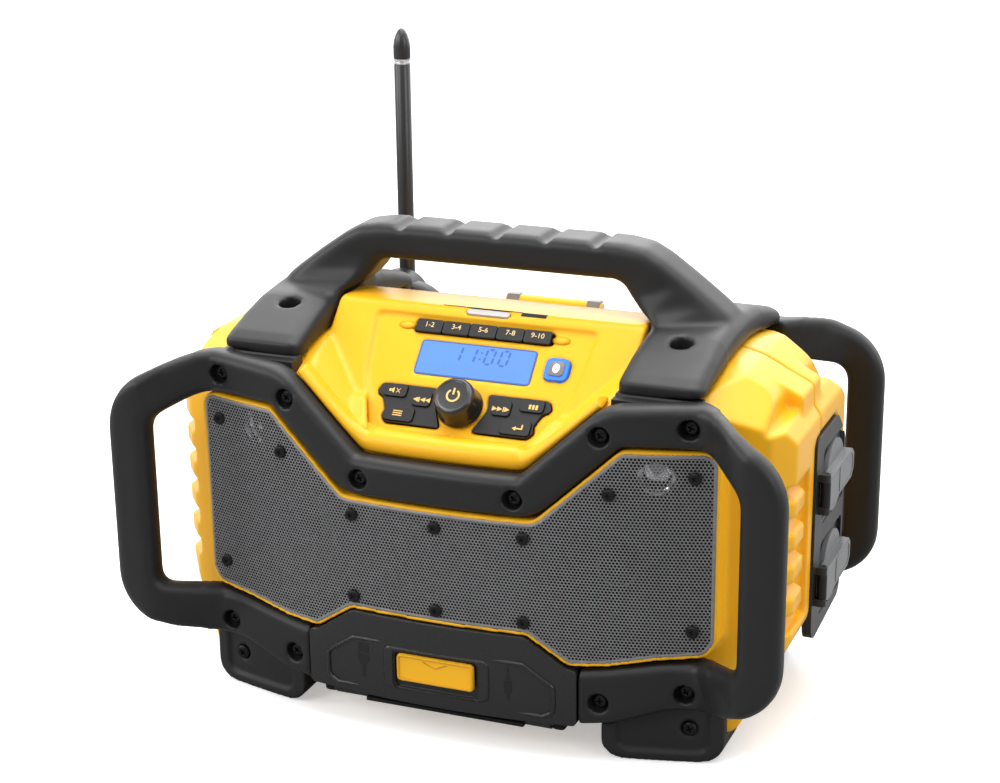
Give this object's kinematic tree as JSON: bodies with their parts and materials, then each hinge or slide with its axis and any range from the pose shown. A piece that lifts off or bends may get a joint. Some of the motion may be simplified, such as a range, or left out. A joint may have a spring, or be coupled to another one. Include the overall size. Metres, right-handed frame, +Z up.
{
  "type": "jobsite radio",
  "caption": "Yellow and charcoal jobsite radio inside bumper frames with corner loops, a carrying handle, a device door and a hinged battery door.",
  "frame": {"origin": "The origin lies on the ground under the centre of the overall box.", "axes": "X runs to the right along the width, the longest extent; -Y faces the front with the speaker grille and Y is the depth, the shortest extent; Z points up."},
  "size_m": [0.444, 0.273, 0.408],
  "materials": {
    "charcoal_frame": "satin moulded charcoal plastic",
    "rubber_foot": "soft moulded rubber",
    "yellow_housing": "semi-gloss moulded yellow plastic",
    "grille_metal": "perforated sheet, dark grey powder coat",
    "black_screw": "black coated steel",
    "display_window": "clear smoked plastic",
    "display_glass": "backlit display",
    "key_plastic": "black moulded keys",
    "steel": "plain steel",
    "circuit_board": "green solder resist",
    "speaker_cone": "pressed cone and plastic basket",
    "outlet_grey": "grey moulded plastic",
    "antenna_rubber": "black sleeve over a whip"
  },
  "bodies": {
    "radio": {"front_frame": "charcoal_frame", "rear_frame": "charcoal_frame", "handle": "charcoal_frame", "frame_screws": "black_screw", "handle_screws": "black_screw", "foot_front_left": "rubber_foot", "foot_front_right": "rubber_foot", "foot_rear_left": "rubber_foot", "foot_rear_right": "rubber_foot", "front_housing": "yellow_housing", "rear_housing": "yellow_housing", "speaker_grille": "grille_metal", "grille_screws": "black_screw", "lcd_window": "display_window", "lcd_module": "display_glass", "indicator_lens": "display_window", "keypad_mat": "rubber_foot", "encoder_body": "steel", "control_board": "circuit_board", "main_board": "circuit_board", "power_supply": "circuit_board", "woofer_left": "speaker_cone", "woofer_right": "speaker_cone", "tweeter_left": "speaker_cone", "tweeter_right": "speaker_cone", "device_door_pin": "steel", "usb_port": "steel", "aux_jack": "steel", "battery_door_pin": "steel", "latch_pin": "steel", "battery_terminals": "key_plastic", "outlet_panel": "outlet_grey", "outlet_upper": "outlet_grey", "outlet_lower": "outlet_grey", "outlet_lid_pins": "steel", "antenna_base": "charcoal_frame", "mains_gland": "rubber_foot"},
    "key_mute": {"key_mute": "key_plastic"},
    "key_menu": {"key_menu": "key_plastic"},
    "key_previous": {"key_previous": "key_plastic"},
    "key_mode": {"key_mode": "key_plastic"},
    "key_enter": {"key_enter": "key_plastic"},
    "key_next": {"key_next": "key_plastic"},
    "preset_1": {"preset_key_1": "rubber_foot"},
    "preset_2": {"preset_key_2": "rubber_foot"},
    "preset_3": {"preset_key_3": "rubber_foot"},
    "preset_4": {"preset_key_4": "rubber_foot"},
    "preset_5": {"preset_key_5": "rubber_foot"},
    "wireless": {"wireless_button": "rubber_foot"},
    "encoder": {"encoder_plunger": "steel"},
    "knob": {"volume_knob": "rubber_foot"},
    "device_door": {"device_door": "charcoal_frame"},
    "device_latch": {"device_door_latch": "yellow_housing"},
    "battery_door": {"battery_door": "charcoal_frame"},
    "battery_latch": {"battery_door_latch": "yellow_housing"},
    "lid_upper": {"outlet_lid_upper": "outlet_grey"},
    "lid_lower": {"outlet_lid_lower": "outlet_grey"},
    "antenna": {"antenna_mast": "antenna_rubber", "antenna_tip": "antenna_rubber"}
  },
  "joints": [
    {"name": "push_mute", "type": "slide", "parent": "radio", "child": "key_mute", "axis": [0, 0.7071, -0.7071], "range_m": [0, 0.0008], "stiffness_N_per_m": 300, "springref_m": -0.0006},
    {"name": "push_menu", "type": "slide", "parent": "radio", "child": "key_menu", "axis": [0, 0.7071, -0.7071], "range_m": [0, 0.0008], "stiffness_N_per_m": 300, "springref_m": -0.0006},
    {"name": "push_previous", "type": "slide", "parent": "radio", "child": "key_previous", "axis": [0, 0.7071, -0.7071], "range_m": [0, 0.0008], "stiffness_N_per_m": 300, "springref_m": -0.0006},
    {"name": "push_mode", "type": "slide", "parent": "radio", "child": "key_mode", "axis": [0, 0.7071, -0.7071], "range_m": [0, 0.0008], "stiffness_N_per_m": 300, "springref_m": -0.0006},
    {"name": "push_enter", "type": "slide", "parent": "radio", "child": "key_enter", "axis": [0, 0.7071, -0.7071], "range_m": [0, 0.0008], "stiffness_N_per_m": 300, "springref_m": -0.0006},
    {"name": "push_next", "type": "slide", "parent": "radio", "child": "key_next", "axis": [0, 0.7071, -0.7071], "range_m": [0, 0.0008], "stiffness_N_per_m": 300, "springref_m": -0.0006},
    {"name": "push_preset_1", "type": "slide", "parent": "radio", "child": "preset_1", "axis": [0, 0.7071, -0.7071], "range_m": [0, 0.0008], "stiffness_N_per_m": 300, "springref_m": -0.0006},
    {"name": "push_preset_2", "type": "slide", "parent": "radio", "child": "preset_2", "axis": [0, 0.7071, -0.7071], "range_m": [0, 0.0008], "stiffness_N_per_m": 300, "springref_m": -0.0006},
    {"name": "push_preset_3", "type": "slide", "parent": "radio", "child": "preset_3", "axis": [0, 0.7071, -0.7071], "range_m": [0, 0.0008], "stiffness_N_per_m": 300, "springref_m": -0.0006},
    {"name": "push_preset_4", "type": "slide", "parent": "radio", "child": "preset_4", "axis": [0, 0.7071, -0.7071], "range_m": [0, 0.0008], "stiffness_N_per_m": 300, "springref_m": -0.0006},
    {"name": "push_preset_5", "type": "slide", "parent": "radio", "child": "preset_5", "axis": [0, 0.7071, -0.7071], "range_m": [0, 0.0008], "stiffness_N_per_m": 300, "springref_m": -0.0006},
    {"name": "push_wireless", "type": "slide", "parent": "radio", "child": "wireless", "axis": [0, 0.7071, -0.7071], "range_m": [0, 0.0008], "stiffness_N_per_m": 300, "springref_m": -0.0006},
    {"name": "push_encoder", "type": "slide", "parent": "radio", "child": "encoder", "axis": [0, 0.7071, -0.7071], "range_m": [0, 0.0006], "stiffness_N_per_m": 500, "springref_m": -0.0006},
    {"name": "turn_knob", "type": "hinge", "parent": "encoder", "child": "knob", "pos_m": [0, -0.07704, 0.20756], "axis": [0, -0.7071, 0.7071], "continuous": true},
    {"name": "device_door_hinge", "type": "hinge", "parent": "radio", "child": "device_door", "pos_m": [0, -0.1135, 0.022], "axis": [1, 0, 0], "range_deg": [0, 90]},
    {"name": "device_latch_slide", "type": "slide", "parent": "device_door", "child": "device_latch", "axis": [0, 0, -1], "range_m": [0, 0.0035], "stiffness_N_per_m": 200, "springref_m": -0.002},
    {"name": "battery_door_hinge", "type": "hinge", "parent": "radio", "child": "battery_door", "pos_m": [0, 0.107, 0.071], "axis": [-1, 0, 0], "range_deg": [0, 90]},
    {"name": "battery_latch_hinge", "type": "hinge", "parent": "radio", "child": "battery_latch", "pos_m": [0, 0.088, 0.231], "axis": [1, 0, 0], "range_deg": [0, 60]},
    {"name": "lid_upper_hinge", "type": "hinge", "parent": "radio", "child": "lid_upper", "pos_m": [0.2145, -0.0035, 0.153], "axis": [0, 0, -1], "range_deg": [0, 110], "stiffness_Nm_per_rad": 0.02, "springref_deg": -11.46},
    {"name": "lid_lower_hinge", "type": "hinge", "parent": "radio", "child": "lid_lower", "pos_m": [0.2145, -0.0035, 0.0906], "axis": [0, 0, -1], "range_deg": [0, 110], "stiffness_Nm_per_rad": 0.02, "springref_deg": -11.46},
    {"name": "antenna_hinge", "type": "hinge", "parent": "radio", "child": "antenna", "pos_m": [-0.128, 0.12586, 0.216], "axis": [0, 1, 0], "range_deg": [-30, 90]}
  ]
}
